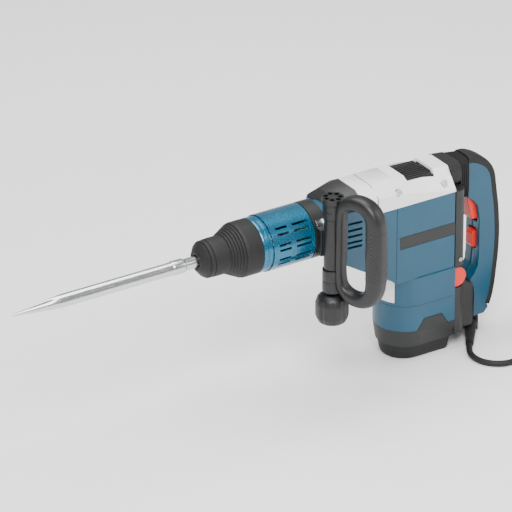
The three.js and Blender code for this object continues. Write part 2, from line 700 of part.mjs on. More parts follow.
// ---- assembly ----
const hammer = new THREE.Group();
barrel.add(chisel(), dustCap(), toolHolder(), lockingSleeve(), sleeveCollar(), barrelShroud(), hammerTube(),
  impactBolt(), striker(), piston(), conrod(), lockingSpring());
sideHandle.add(sideFrame(), sideGrip());
hammer.add(barrel, sideHandle, crankGear(), armature(), stator(), bearing("lower_bearing", 5.4, 46, 56),
  bearing("upper_bearing", 6.4, gearFloorZ + 0.6, gearFloorZ + 5.8), bearingFlange(),
  brushHolder("brush_holder_left", 1), brushHolder("brush_holder_right", -1), electronicsModule(),
  motorHousing(), sideTrim("side_trim_left", 1),
  sideTrim("side_trim_right", -1), frontCasing(), gearHousing(), topVentInsert(), noseCover(), motorEndCap(),
  baseFoot(), rearCover(), speedWheel(), serviceLamp(), ratingLabel(), mountBlock(), lowerBellows(),
  upperBellows(), handleShell("handle_shell_left", 1), handleShell("handle_shell_right", -1), softGrip(),
  trigger(), lockButton(), damperSpring(), clampBand(), clampSaddle(), clampBolt(), sideKnob(), cordGland(),
  strainRelief(), powerCord(), cordCoil(), powerPlug());
screwPlaces.forEach((place, i) => {
  hammer.add(gearScrew(`gear_housing_screw_${2 * i + 1}`, place, -1));
  hammer.add(gearScrew(`gear_housing_screw_${2 * i + 2}`, place, 1));
});
export default hammer;
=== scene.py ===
import json
import math

import bmesh
import bpy
import numpy as np
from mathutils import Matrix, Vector


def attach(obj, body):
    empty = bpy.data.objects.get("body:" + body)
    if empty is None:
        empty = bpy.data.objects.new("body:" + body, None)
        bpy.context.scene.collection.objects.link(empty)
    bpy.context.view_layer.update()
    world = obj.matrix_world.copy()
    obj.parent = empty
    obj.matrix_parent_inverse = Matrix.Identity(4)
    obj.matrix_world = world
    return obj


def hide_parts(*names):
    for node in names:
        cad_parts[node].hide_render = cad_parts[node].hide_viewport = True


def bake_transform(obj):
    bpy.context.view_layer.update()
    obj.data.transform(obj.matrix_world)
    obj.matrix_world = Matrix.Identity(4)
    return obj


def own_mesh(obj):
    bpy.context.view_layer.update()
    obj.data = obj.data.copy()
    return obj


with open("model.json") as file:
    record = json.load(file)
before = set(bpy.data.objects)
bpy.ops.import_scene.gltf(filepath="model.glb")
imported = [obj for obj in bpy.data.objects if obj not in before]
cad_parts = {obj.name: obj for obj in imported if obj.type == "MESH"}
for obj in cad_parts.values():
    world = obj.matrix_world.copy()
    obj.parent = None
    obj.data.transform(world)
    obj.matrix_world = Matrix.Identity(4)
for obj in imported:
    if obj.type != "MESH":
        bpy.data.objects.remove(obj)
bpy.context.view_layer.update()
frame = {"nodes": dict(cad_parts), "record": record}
record = frame["record"]
mm = 0.001
bodyFor = {node: body for body, nodes in record["behaviour"]["bodies"].items() for node in nodes}
slotFor = {part["node"]: part["material_slot"] for part in record["subparts"]}
print("frame loaded:", len(bodyFor), "nodes")


# camera: a long lens from far away, so the view is nearly parallel
cameraSet = {"aim": (-0.269, -0.003, 0.231), "azimuth": -32.9, "elevation": 27.05, "distance": 8.32,
             "lens": 399}


def makeCamera(values):
    camera = bpy.data.objects.new("camera", bpy.data.cameras.new("camera"))
    bpy.context.scene.collection.objects.link(camera)
    around, rise = math.radians(values["azimuth"]), math.radians(values["elevation"])
    back = Vector((math.sin(around) * math.cos(rise), -math.cos(around) * math.cos(rise), math.sin(rise)))
    camera.location = Vector(values["aim"]) + back * values["distance"]
    camera.rotation_mode = "QUATERNION"
    camera.rotation_quaternion = (-back).to_track_quat("-Z", "Y")
    camera.data.lens = values["lens"]
    camera.data.clip_end = 60
    bpy.context.scene.camera = camera


makeCamera(cameraSet)
print("camera made")


# materials: each reads Object coordinates, which are metres in the object's own frame
def linear(code):
    """sRGB hex to linear: c / 12.92 up to 0.04045, else ((c + 0.055) / 1.055) ^ 2.4."""
    share = np.array([int(code[i:i + 2], 16) for i in (1, 3, 5)]) / 255
    light = np.where(share <= 0.04045, share / 12.92, ((share + 0.055) / 1.055) ** 2.4)
    return (*(float(c) for c in light), 1.0)


def addNode(tree, kind, settings=None, links=None):
    """Adds a node; settings are its properties or input values, links maps an input to an output socket."""
    node = tree.nodes.new(kind)
    for key, value in (settings or {}).items():
        if key in node.inputs:
            node.inputs[key].default_value = value
        else:
            setattr(node, key, value)
    for key, source in (links or {}).items():
        tree.links.new(source, node.inputs[key])
    return node


def surface(name, look):
    """Colour = mix(base, second, soft noise); roughness = range over noise; height = grain noise."""
    material = bpy.data.materials.new(name)
    material.use_nodes = True
    tree = material.node_tree
    shader = tree.nodes["Principled BSDF"]
    shader.inputs["Metallic"].default_value = look.get("metallic", 0)
    if "ior" in look:
        shader.inputs["IOR"].default_value = look["ior"]
    shader.inputs["Coat Weight"].default_value = look.get("coat", 0)
    shader.inputs["Coat Roughness"].default_value = look.get("coatRough", 0.1)
    place = addNode(tree, "ShaderNodeTexCoord").outputs["Object"]
    if "stretch" in look:
        place = addNode(tree, "ShaderNodeMapping", {"Scale": look["stretch"]},
                        {"Vector": place}).outputs["Vector"]
    cloud = addNode(tree, "ShaderNodeTexNoise", {"Scale": 1 / (look.get("cloudMm", 35) * mm), "Detail": 3.0},
                    {"Vector": place})
    grain = addNode(tree, "ShaderNodeTexNoise", {"Scale": 1 / (look["grainMm"] * mm), "Detail": 2.0},
                    {"Vector": place})
    tint = addNode(tree, "ShaderNodeMix", {"data_type": "RGBA"})
    tint.inputs[6].default_value = linear(look["base"])
    tint.inputs[7].default_value = linear(look["second"])
    tree.links.new(cloud.outputs["Fac"], tint.inputs[0])
    low, high = look["rough"]
    gloss = addNode(tree, "ShaderNodeMapRange",
                    {"From Min": 0.3, "From Max": 0.7, "To Min": low, "To Max": high},
                    {"Value": grain.outputs["Fac"]})
    bump = addNode(tree, "ShaderNodeBump",
                   {"Strength": look.get("bump", 0.25), "Distance": look["depthMm"] * mm},
                   {"Height": grain.outputs["Fac"]})
    tree.links.new(tint.outputs[2], shader.inputs["Base Color"])
    tree.links.new(gloss.outputs["Result"], shader.inputs["Roughness"])
    tree.links.new(bump.outputs["Normal"], shader.inputs["Normal"])
    return material


looks = {
    # glass-filled nylon, injection moulded: satin with a fine spark-eroded grain
    "blue_housing": ("glassFilledNylonMoulded", {"base": "#004058", "second": "#004c67", "rough": (0.28, 0.4),
                     "grainMm": 0.9, "depthMm": 0.1, "ior": 1.53}),
    # aluminium with metallic lacquer: long soft highlights along the barrel
    "blue_metal": ("aluminiumLacquered", {"base": "#0b5f80", "second": "#15708f", "rough": (0.22, 0.32),
                   "metallic": 0.65, "grainMm": 2.2, "depthMm": 0.008, "coat": 0.5, "coatRough": 0.12}),
    # magnesium die casting, silver paint: pale with a light orange peel
    "silver_casting": ("magnesiumDieCastPainted", {"base": "#eeefed", "second": "#f8f8f6",
                       "rough": (0.3, 0.42), "metallic": 0.12, "grainMm": 1.6, "depthMm": 0.08, "coat": 0.2}),
    # dark grey nylon, moulded: duller than the blue
    "dark_plastic": ("greyNylonMoulded", {"base": "#151616", "second": "#1e1f1f", "rough": (0.42, 0.58),
                     "grainMm": 1.0, "depthMm": 0.14, "ior": 1.53}),
    # black nylon, moulded: satin, shows edges by their highlights
    "black_plastic": ("blackNylonMoulded", {"base": "#080809", "second": "#101011", "rough": (0.38, 0.52),
                      "grainMm": 1.0, "depthMm": 0.12, "ior": 1.53}),
    # thermoplastic rubber, overmoulded: matt and slightly dusty
    "soft_rubber": ("softRubberMoulded", {"base": "#070707", "second": "#0e0e0e", "rough": (0.55, 0.75),
                    "grainMm": 1.2, "depthMm": 0.2, "ior": 1.5}),
    # alloy steel, ground and polished: fine marks drawn along the shank
    "steel": ("toolSteelGround", {"base": "#bfc1c3", "second": "#dcdddf", "rough": (0.14, 0.3), "metallic": 1,
              "grainMm": 1.5, "depthMm": 0.03, "stretch": (0.12, 1.0, 1.0)}),
    # enamelled copper wire, wound: warm and glossy
    "copper": ("copperWireEnamelled", {"base": "#9c5523", "second": "#b9703a", "rough": (0.25, 0.4),
               "metallic": 1, "grainMm": 0.8, "depthMm": 0.15, "stretch": (1.0, 1.0, 0.2)}),
    # acetal, moulded: smooth saturated red
    "red_plastic": ("redAcetalMoulded", {"base": "#d9200f", "second": "#e5301f", "rough": (0.3, 0.4),
                    "grainMm": 1.2, "depthMm": 0.05, "ior": 1.48}),
    # polyester film label: white and semi-matt
    "white_label": ("polyesterFilmPrinted", {"base": "#e9eaea", "second": "#f4f4f4", "rough": (0.35, 0.45),
                    "grainMm": 2.0, "depthMm": 0.02}),
    # polycarbonate lens, polished: clear and glossy over a dark inside
    "lamp_lens": ("polycarbonatePolished", {"base": "#7f8670", "second": "#949a84", "rough": (0.05, 0.1),
                  "grainMm": 3.0, "depthMm": 0.01, "coat": 0.8, "ior": 1.58}),
}
materials = {slot: surface(name, look) for slot, (name, look) in looks.items()}
for nodeName, cadObject in frame["nodes"].items():
    cadObject.data.materials.clear()
    cadObject.data.materials.append(materials[slotFor[nodeName]])
print("materials made:", len(materials))


# shared mesh work
def sealed(name, mesh, material):
    """Merges doubles, turns the faces outwards and shades smooth up to 35 degrees."""
    work = bmesh.new()
    work.from_mesh(mesh)
    bmesh.ops.remove_doubles(work, verts=work.verts, dist=2e-6)
    bmesh.ops.recalc_face_normals(work, faces=work.faces)
    work.to_mesh(mesh)
    work.free()
    mesh.shade_smooth()
    mesh.set_sharp_from_angle(angle=math.radians(35))
    mesh.materials.clear()
    mesh.materials.append(material)
    piece = bpy.data.objects.new(name, mesh)
    bpy.context.scene.collection.objects.link(piece)
    return piece


def gridPiece(name, grid, slotName, wrapRows=False):
    """Rings of points: row i joins row i+1, each ring closes on itself, and end rings get a flat cap."""
    rows, columns = grid.shape[:2]
    index = np.arange(rows * columns).reshape(rows, columns)
    lower = index if wrapRows else index[:-1]
    upper = np.roll(index, -1, 0) if wrapRows else index[1:]
    quads = np.stack([lower, np.roll(lower, -1, 1), np.roll(upper, -1, 1), upper], -1).reshape(-1, 4).tolist()
    if not wrapRows:
        quads += [index[0, ::-1].tolist(), index[-1].tolist()]
    mesh = bpy.data.meshes.new(name)
    mesh.from_pydata(grid.reshape(-1, 3) * mm, [], quads)
    return sealed(name, mesh, materials[slotName])


def softProfile(points, radius, closed=True, steps=5):
    """Each corner becomes the curve (1-t)^2 a + 2t(1-t) corner + t^2 b, cut back by radius on both sides."""
    p = np.asarray(points, float)
    ring = np.vstack([p[-1:], p, p[:1]]) if closed else p
    corner = ring[1:-1]
    before, after = ring[:-2] - corner, ring[2:] - corner
    lengthBefore = np.linalg.norm(before, axis=1, keepdims=True)
    lengthAfter = np.linalg.norm(after, axis=1, keepdims=True)
    back = np.minimum(radius, 0.45 * np.minimum(lengthBefore, lengthAfter))
    a, b = corner + before / lengthBefore * back, corner + after / lengthAfter * back
    t = np.linspace(0, 1, steps)[:, None, None]
    arcs = ((1 - t) ** 2 * a + 2 * t * (1 - t) * corner + t ** 2 * b).transpose(1, 0, 2).reshape(-1, 2)
    return arcs if closed else np.vstack([p[:1], arcs, p[-1:]])


def turned(name, profile, slotName, axis, centre, closed=True, sides=96, ripple=None):
    """Turns [along, radius] pairs about an axis; ripple(along, angle) scales the radius."""
    around = np.linspace(0, 2 * np.pi, sides, endpoint=False)
    along, radius = profile[:, :1], profile[:, 1:]
    spread = radius * (ripple(along, around[None]) if ripple else 1)
    first, second = spread * np.cos(around), spread * np.sin(around)
    level = np.broadcast_to(along, first.shape)
    grid = np.stack([level, first, second] if axis == "x" else [first, second, level], -1)
    return gridPiece(name, grid + np.array(centre), slotName, wrapRows=closed)


def smoothLine(points, count):
    """A Catmull-Rom curve through the points, evaluated for all its stretches at once."""
    p = np.asarray(points, float)
    ends = np.vstack([2 * p[0] - p[1], p, 2 * p[-1] - p[-2]])
    u = np.linspace(0, len(p) - 1, count)
    i = np.minimum(u.astype(int), len(p) - 2)
    t = (u - i)[:, None]
    a, b, c, d = ends[i], ends[i + 1], ends[i + 2], ends[i + 3]
    return 0.5 * (2 * b + (c - a) * t + (2 * a - 5 * b + 4 * c - d) * t ** 2
                  + (3 * b - a - 3 * c + d) * t ** 3)


def superCircle(angle, power):
    """Rounded square: x = sign(cos)|cos|^(2/power), y the same with sin."""
    c, s = np.cos(angle), np.sin(angle)
    return np.sign(c) * np.abs(c) ** (2 / power), np.sign(s) * np.abs(s) ** (2 / power)


def standsFor(piece, *nodes):
    """Rides on the nodes' body and hides them."""
    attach(piece, bodyFor[nodes[0]])
    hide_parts(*nodes)
    return piece


def addsTo(piece, body):
    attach(piece, body)
    return piece


# cord: along the floor from the sleeve, then wound in three layers with the plug on top
cordSet = {"diameter": 9.5, "exit": (113, -11, 14.5), "way": (-0.594, -0.804, -0.1), "sleeve": 58,
           "coilCentre": (252, -65), "outer": 71.5, "turnsAcross": 3.2, "climb": 0.25, "endTurn": 9.7222,
           "topRadius": 61.75, "plugEntry": (223.5, -115, 40.6), "leave": 80, "arrive": 105}
cordRoute = [(72.8, -65.4, 7.6), (66, -79.4, 6), (64.9, -95.4, 5), (69.5, -110, 4.8), (79, -122, 4.8),
             (92.2, -129.8, 4.8), (106.6, -132.3, 4.8), (128, -133.2, 4.8), (150, -134.6, 4.8),
             (175, -136, 4.8), (200, -136.5, 4.8), (216.5, -136.5, 4.8), (234, -136.5, 4.8)]
exitPoint = np.array(cordSet["exit"], float)
exitWay = np.array(cordSet["way"]) / np.linalg.norm(cordSet["way"])
sleeveEnd = exitPoint + exitWay * cordSet["sleeve"]


def cordLine(v):
    """Free route, then x = cx + r cos a, y = cy + r sin a, with r and z read off against the turn count."""
    start = smoothLine([exitPoint, exitPoint + exitWay * 29, sleeveEnd, *cordRoute], 170)
    d, across, climb, last = v["diameter"], v["turnsAcross"], v["climb"], v["endTurn"]
    turn = np.linspace(0, last, int(last * 48))
    inner = v["outer"] - d * across
    knots = [0, across, across + climb, 2 * across + climb, 2 * across + 2 * climb, last - 0.3, last]
    third = v["outer"] - d * (knots[5] - knots[4])
    radius = np.interp(turn, knots, [v["outer"], inner, inner, v["outer"], v["outer"], third, v["topRadius"]])
    rise = [np.clip((turn - a) / w, 0, 1) for a, w in ((knots[1], climb), (knots[3], climb), (knots[5], 0.3))]
    height = v["diameter"] / 2 + 0.05 + d * sum(s * s * (3 - 2 * s) for s in rise)
    angle = -np.pi / 2 + 2 * np.pi * turn
    cx, cy = v["coilCentre"]
    wound = np.stack([cx + radius * np.cos(angle), cy + radius * np.sin(angle), height], -1)
    p0, p1 = wound[-1], np.array(v["plugEntry"], float)
    heading = wound[-1] - wound[-2]
    m0, m1 = heading / np.linalg.norm(heading) * v["leave"], np.array((v["arrive"], 0, 5.0))
    t = np.linspace(0, 1, 24)[1:, None]
    finish = ((2 * t ** 3 - 3 * t ** 2 + 1) * p0 + (t ** 3 - 2 * t ** 2 + t) * m0
              + (3 * t ** 2 - 2 * t ** 3) * p1 + (t ** 3 - t ** 2) * m1)
    return np.vstack([start, wound[1:], finish])


def makeCord(v):
    line = cordLine(v)
    length = float(np.linalg.norm(np.diff(line, axis=0), axis=1).sum()) * mm
    curve = bpy.data.curves.new("power_cord_wound", "CURVE")
    curve.dimensions = "3D"
    curve.bevel_depth = v["diameter"] / 2 * mm
    curve.bevel_resolution = 3
    curve.use_fill_caps = True
    spline = curve.splines.new("POLY")
    spline.points.add(len(line) - 1)
    spline.points.foreach_set("co", np.hstack([line * mm, np.ones((len(line), 1))]).ravel())
    spline.use_smooth = True
    curve.materials.append(materials["soft_rubber"])
    piece = bpy.data.objects.new("power_cord_wound", curve)
    bpy.context.scene.collection.objects.link(piece)
    return standsFor(piece, "power_cord", "cord_coil"), length


def makeSleeve(v):
    """A cone along the exit line whose radius dips in narrow grooves: r = taper - groove(along)."""
    along = np.linspace(0.5, v["sleeve"] - 0.4, 140)
    taper = np.interp(along, [0, 6, v["sleeve"]], [9.4, 9.2, 6.0])
    groove = 0.9 * (np.cos(2 * np.pi * along / 5.8) < -0.45) * (along > 10) * (along < 50)
    around = np.linspace(0, 2 * np.pi, 40, endpoint=False)
    side = np.cross(exitWay, (0, 0, 1.0))
    side /= np.linalg.norm(side)
    up = np.cross(side, exitWay)
    radius = (taper - groove)[:, None, None]
    ring = np.cos(around)[None, :, None] * side + np.sin(around)[None, :, None] * up
    grid = exitPoint + along[:, None, None] * exitWay + radius * ring
    return standsFor(gridPiece("cord_sleeve_ribbed", grid, "soft_rubber"), "strain_relief_sleeve")


cordPiece, cordLength = makeCord(cordSet)
cordSleeve = makeSleeve(cordSet)
print("cord laid, length in metres:", round(cordLength, 3))


# copies of the plain parts, finished as they are moulded
def partCopy(node):
    mesh = frame["nodes"][node].data.copy()
    work = bmesh.new()
    work.from_mesh(mesh)
    bmesh.ops.remove_doubles(work, verts=work.verts, dist=5e-6)
    bmesh.ops.dissolve_limit(work, angle_limit=math.radians(1), verts=work.verts, edges=work.edges)
    work.to_mesh(mesh)
    work.free()
    return mesh


def edged(node, width, segments=3):
    """The part with its edges rounded by width in millimetres."""
    piece = sealed(node + "_edged", partCopy(node), materials[slotFor[node]])
    rounding = piece.modifiers.new("rounding", "BEVEL")
    rounding.width = width * mm
    rounding.segments = segments
    rounding.limit_method = "ANGLE"
    rounding.angle_limit = math.radians(32)
    rounding.harden_normals = True
    return standsFor(piece, node)


def moulded(node, voxel, passes):
    """The part as one rounded skin: remeshed, then each point drawn towards its neighbours' mean."""
    source = sealed(node + "_moulded", partCopy(node), materials[slotFor[node]])
    skin = source.modifiers.new("skin", "REMESH")
    skin.mode = "VOXEL"
    skin.voxel_size = voxel * mm
    skin.use_smooth_shade = True
    relax = source.modifiers.new("relax", "SMOOTH")
    relax.factor = 0.5
    relax.iterations = passes
    bpy.context.view_layer.update()
    made = bpy.data.meshes.new_from_object(source.evaluated_get(bpy.context.evaluated_depsgraph_get()))
    source.modifiers.clear()
    source.data = made
    made.shade_smooth()
    made.materials.clear()
    made.materials.append(materials[slotFor[node]])
    return standsFor(source, node)


edgeWidths = {"motor_housing": 0.9, "front_casing": 0.9, "gear_housing": 1.3, "nose_cover": 1.2,
              "rear_cover": 1.4,
              "motor_end_cap": 1.2, "base_foot": 1.0, "handle_mount_block": 1.6, "barrel_shroud": 0.5,
              "clamp_band": 0.7, "clamp_saddle": 0.8, "side_trim_left": 0.3, "side_trim_right": 0.3,
              "trigger": 1.4, "lock_button": 1.2, "cord_gland": 1.2, "power_plug": 1.0, "service_lamp": 0.2}
edgedPieces = {nodeName: edged(nodeName, edgeWidth) for nodeName, edgeWidth in edgeWidths.items()}
for nodeName in ("handle_shell_left", "handle_shell_right"):
    moulded(nodeName, 1.2, 6)
print("housings finished")


# chisel: a round bar whose end is drawn to a point with four hollow flanks
chiselSet = {"tip": -687, "point": -600, "bar": 10, "flank": 0.3, "height": 249}


def makeChisel(v):
    """r = bar * taper(x) * (1 - flank * share(x) * sin^2(2 angle)), so ridges stand at the four corners."""
    shank = softProfile([(-600, 10), (-414, 10), (-412.5, 11), (-394.5, 11), (-393, 9), (-321, 9), (-318, 7)],
                        1.5, closed=False)
    pointX = np.linspace(v["tip"], v["point"], 70)[:-1]
    share = (pointX - v["tip"]) / (v["point"] - v["tip"])
    pointR = 0.6 + (v["bar"] - 0.6) * share ** 0.75
    profile = np.vstack([np.stack([pointX, pointR], -1), shank])

    def flanks(x, angle):
        part = np.clip((v["point"] - x) / 28, 0, 1)
        return 1 - v["flank"] * part * part * (3 - 2 * part) * np.sin(2 * angle + 0.5) ** 2

    piece = turned("chisel_pointed", profile, "steel", "x", (0, 0, v["height"]), False, 96, flanks)
    return standsFor(piece, "chisel")


makeChisel(chiselSet)

# chuck: rubber cap, ribbed sleeve and lacquered collar, all turned about the barrel's axis
chuckSet = {"ribs": 6, "ribStart": -328, "ribEnd": -304, "small": 29, "large": 42, "round": 0.9}
barrelAxis = (0, 0, 249)


def makeChuck(v):
    cap = [(-371, 9.6), (-372, 14), (-369.5, 18), (-362.5, 26.4), (-361.8, 25.4), (-360.6, 25.6),
           (-359.6, 28.3), (-353.6, 28.4), (-353.6, 20.6), (-362, 20.6), (-366, 9.6)]
    pitch = (v["ribEnd"] - v["ribStart"]) / v["ribs"]
    step = (v["large"] - 1 - v["small"]) / v["ribs"]
    ribs = [(v["ribStart"] + pitch * i + dx, v["small"] + step * (i + 1) + dr)
            for i in range(v["ribs"]) for dx, dr in ((0.5, -2.1), (1.2, 0), (3.5, 0.4))]
    sleeve = [(-353.2, 20.6), (-353.2, 28.6), (-345, 29), (-328.4, 29), *ribs, (-303, 42), (-278.3, 42),
              (-278.3, 36), (-303, 36), (-325.5, 28.2), (-325.5, 20.6)]
    collar = [(-278, 37), (-278, 41.2), (-276, 42), (-271.4, 42), (-271, 41.2), (-269.8, 41.2), (-269.4, 42),
              (-262.9, 42), (-262.9, 37)]
    standsFor(turned("dust_cap_turned", softProfile(cap, v["round"]), "soft_rubber", "x", barrelAxis),
              "dust_cap")
    standsFor(turned("locking_sleeve_ribbed", softProfile(sleeve, v["round"]), "soft_rubber", "x",
                     barrelAxis), "locking_sleeve")
    standsFor(turned("sleeve_collar_turned", softProfile(collar, 0.4), "blue_metal", "x", barrelAxis),
              "sleeve_collar")


makeChuck(chuckSet)
print("chisel and chuck made")

# side handle: knob and knuckle rings about the bolt, grip in the loop's own frame
handleSet = {"bolt": (-171, -58), "turn": 22 - 90, "bump": 0.8, "bumpPitch": 6.2, "knobFlutes": 9,
             "steps": 48}
# the loop's middle line as (out from the bolt, z), then its half-depth in the loop's plane and its half-width
loopLine = [(16, 200), (16, 249), (16, 298), (22, 317), (40, 326), (60, 324), (73, 312), (77.3, 290),
            (77.7, 249), (77.3, 208), (73, 186), (60, 173), (40, 170), (22, 180)]
loopDepth = [6, 6, 7, 9.5, 11, 12, 13, 14, 14.4, 14, 13, 12, 10.5, 8]
loopWidth = [10.5, 10.5, 11, 12, 13, 13.5, 14.5, 15, 15.2, 15, 14.5, 13.5, 12.5, 11]


def makeLoop(v):
    """A rounded-square section carried round the closed loop; grip bumps = (cos z-wave * cos angle-wave)+."""
    table = np.column_stack([loopLine, loopDepth, loopWidth])
    count, steps = len(table), v["steps"]
    padded = np.vstack([table[-2:], table, table[:3]])
    line = smoothLine(padded, (len(padded) - 1) * steps + 1)[2 * steps:(2 + count) * steps]
    tangent = np.gradient(line[:, :2], axis=0)
    tangent /= np.linalg.norm(tangent, axis=1, keepdims=True)
    angle = np.linspace(0, 2 * np.pi, 88, endpoint=False)[None]
    depth, across = superCircle(angle, 2.7)
    z = line[:, 1:2]
    wave = np.cos(2 * np.pi * z / v["bumpPitch"]) * np.cos(14 * angle)
    raised = v["bump"] * np.clip(wave, 0, 1) ** 1.5 * (np.abs(z - 249) < 40) * (line[:, :1] > 70)
    offset = depth * (line[:, 2:3] + raised)
    outwardX, outwardZ = -tangent[:, 1:2], tangent[:, 0:1]
    localX, localZ = line[:, :1] + offset * outwardX, z + offset * outwardZ
    localY = across * (line[:, 3:4] + raised)
    turn, (bx, by) = math.radians(v["turn"]), v["bolt"]
    grid = np.stack([bx + localX * math.cos(turn) - localY * math.sin(turn),
                     by + localX * math.sin(turn) + localY * math.cos(turn), localZ], -1)
    return gridPiece("side_handle_loop", grid, "black_plastic", wrapRows=True)


def makeKnuckles(v):
    """Two rings about the bolt, r = 15 with rounded shoulders and a shallow groove."""
    for name, low, high in (("upper_knuckle", 292.2, 315.4), ("lower_knuckle", 171.2, 207.4)):
        middle = (low + high) / 2
        ring = [(low, 5.6), (low, 15), (middle - 1, 15), (middle - 0.8, 14.3), (middle + 0.8, 14.3),
                (middle + 1, 15), (high, 15), (high, 5.6)]
        addsTo(turned(name, softProfile(ring, 0.8), "black_plastic", "z", (*v["bolt"], 0)),
               "side_handle")


def makeSideHandle(v):
    standsFor(makeLoop(v), "side_handle_frame", "side_grip")
    makeKnuckles(v)
    knob = softProfile([(118, 0), (118.6, 14), (122, 21), (131, 25), (152, 25), (161, 22), (166, 16),
                        (167.4, 12), (167.4, 5.6), (141, 5.6), (141, 0)], 2.5, closed=False)

    def flutes(z, angle):
        belt = np.clip((z - 121) / 8, 0, 1) * np.clip((163 - z) / 8, 0, 1)
        return 1 - 0.07 * belt * np.clip(np.cos(v["knobFlutes"] * angle), 0, 1) ** 2

    standsFor(turned("side_knob_fluted", knob, "black_plastic", "z", (*v["bolt"], 0), False, 108, flutes),
              "side_knob")


makeSideHandle(handleSet)

strapSet = {"x": (-184.5, -171.5), "radius": 43.5, "thick": 0.7, "from": 138, "to": 176}


def makeStrap(v):
    """A thin arc about the barrel's axis: a flat rounded section turned from one angle to the other."""
    x0, x1 = v["x"]
    section = softProfile([(x0, 0), (x1, 0), (x1, v["thick"]), (x0, v["thick"])], 0.3)
    angle = np.radians(np.linspace(v["from"], v["to"], 40))[:, None]
    radius = v["radius"] + section[None, :, 1]
    grid = np.stack([np.broadcast_to(section[None, :, 0], (40, len(section))), radius * np.cos(angle),
                     249 + radius * np.sin(angle)], -1)
    addsTo(gridPiece("clamp_strap", grid, "steel"), "side_clamp")


makeStrap(strapSet)

# rear handle: a soft back that follows the shell, and folded bellows between it and the housing
backLine = [(99.6, 301), (112, 299.5), (129, 291), (142, 279), (150, 262), (154, 235), (158, 205),
            (160.5, 167), (159.5, 130), (157, 105), (154, 80), (150, 58), (145, 42)]
gripSet = {"half": 18.7, "thick": 14.5, "power": 3.6}


def makeSoftBack(v):
    """A rounded-square section carried down the back: y across, depth along the inward normal."""
    line = smoothLine(backLine, 120)
    tangent = np.gradient(line, axis=0)
    tangent /= np.linalg.norm(tangent, axis=1, keepdims=True)
    inward = np.stack([tangent[:, 1], -tangent[:, 0]], -1)
    angle = np.linspace(0, 2 * np.pi, 64, endpoint=False)
    across, depth = superCircle(angle, v["power"])
    inside = v["thick"] / 2 * (1 + depth)[None, :, None]
    flat = line[:, None] + inside * inward[:, None]
    grid = np.stack([flat[..., 0], np.broadcast_to(v["half"] * across, flat.shape[:2]), flat[..., 1]], -1)
    return standsFor(gridPiece("handle_soft_back", grid, "soft_rubber"), "handle_soft_grip")


bellowsSet = {"front": 58.4, "shelf": 78.4, "back": 97.4, "foldStart": 80, "pitch": 4.3, "depth": 2.4,
              "half": 32.8, "narrow": 10.6, "top": 299.5, "under": [266.2, 266.2, 238, 233]}


def makeBellows(v):
    """Rounded rectangles carried rearwards; past foldStart each goes in and out by depth * (1 - cos) / 2."""
    steps = [np.linspace(v["front"], v["back"], 110), [v["shelf"], v["shelf"] + 0.4]]
    x = np.unique(np.concatenate(steps))[:, None]
    angle = np.linspace(0, 2 * np.pi, 88, endpoint=False)[None]
    across, up = superCircle(angle, 5)
    fold = v["depth"] / 2 * (1 - np.cos(2 * np.pi * (x - v["foldStart"]) / v["pitch"])) * (x > v["foldStart"])
    share = (x - v["front"]) / (v["back"] - v["front"])
    half, high = v["half"] - v["narrow"] * share ** 1.3 - fold, v["top"] - fold
    low = np.interp(x, [v["front"], v["shelf"], v["shelf"] + 0.4, v["back"]], v["under"]) + fold
    grid = np.stack([np.broadcast_to(x, (len(x), angle.shape[1])), half * across,
                     (low + high) / 2 + (high - low) / 2 * up], -1)
    piece = gridPiece("upper_bellows_folded", grid, "soft_rubber")
    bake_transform(piece)
    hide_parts("upper_bellows")


# each spring is a fixed helix riding on the body listed with it
springSets = [
    {"name": "damper_spring_coiled", "node": "damper_spring", "body": "housing",
     "joint": "rear_handle_damping", "from": 62, "to": 95, "height": 282, "radius": 9, "wire": 1.5,
     "turns": 5, "anchor": 62, "keep": 0.66},
    {"name": "locking_spring_coiled", "node": "locking_spring", "body": bodyFor["locking_spring"],
     "joint": "locking_sleeve_pull", "from": -323.2, "to": -287, "height": 249, "radius": 26, "wire": 1.6,
     "turns": 4, "anchor": -287, "keep": 0.75},
]


def makeSpring(v):
    """Helix (x rising evenly, radius * cos, radius * sin) with a round wire set square to it."""
    t = np.linspace(0, 1, v["turns"] * 36)[:, None]
    angle = 2 * np.pi * v["turns"] * t
    outward = np.concatenate([0 * angle, np.cos(angle), np.sin(angle)], 1)
    along = np.concatenate([(v["to"] - v["from"]) / (2 * np.pi * v["turns"]) + 0 * angle,
                            -v["radius"] * np.sin(angle), v["radius"] * np.cos(angle)], 1)
    along /= np.linalg.norm(along, axis=1, keepdims=True)
    square = np.cross(along, outward)
    line = v["radius"] * outward + np.array([0, 0, v["height"]])
    line[:, :1] += v["from"] + (v["to"] - v["from"]) * t
    around = np.linspace(0, 2 * np.pi, 14, endpoint=False)[None, :, None]
    ring = np.cos(around) * outward[:, None] + np.sin(around) * square[:, None]
    grid = line[:, None] + v["wire"] * ring
    piece = gridPiece(v["name"], grid, "steel")
    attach(piece, v["body"])
    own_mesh(piece)
    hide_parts(v["node"])


lowFoldSet = {"x": (100.4, 104.6), "half": 32, "z": (31, 94), "depth": 1.6, "keep": 0.45}


def makeLowerBellows(v):
    """Rounded rectangles carried rearwards, drawn in by depth * (1 - cos) / 2 over two ridges."""
    x = np.linspace(*v["x"], 40)[:, None]
    across, up = superCircle(np.linspace(0, 2 * np.pi, 88, endpoint=False)[None], 6)
    low, high = v["z"]
    share = (x - v["x"][0]) / (v["x"][1] - v["x"][0])
    fold = v["depth"] / 2 * (1 - np.cos(2 * np.pi * 1.5 * share))
    grid = np.stack([np.broadcast_to(x, (len(x), across.shape[1])), (v["half"] - fold) * across,
                     (low + high) / 2 + ((high - low) / 2 - fold) * up], -1)
    piece = gridPiece("lower_bellows_folded", grid, "soft_rubber")
    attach(piece, "housing")
    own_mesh(piece)
    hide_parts("lower_bellows")


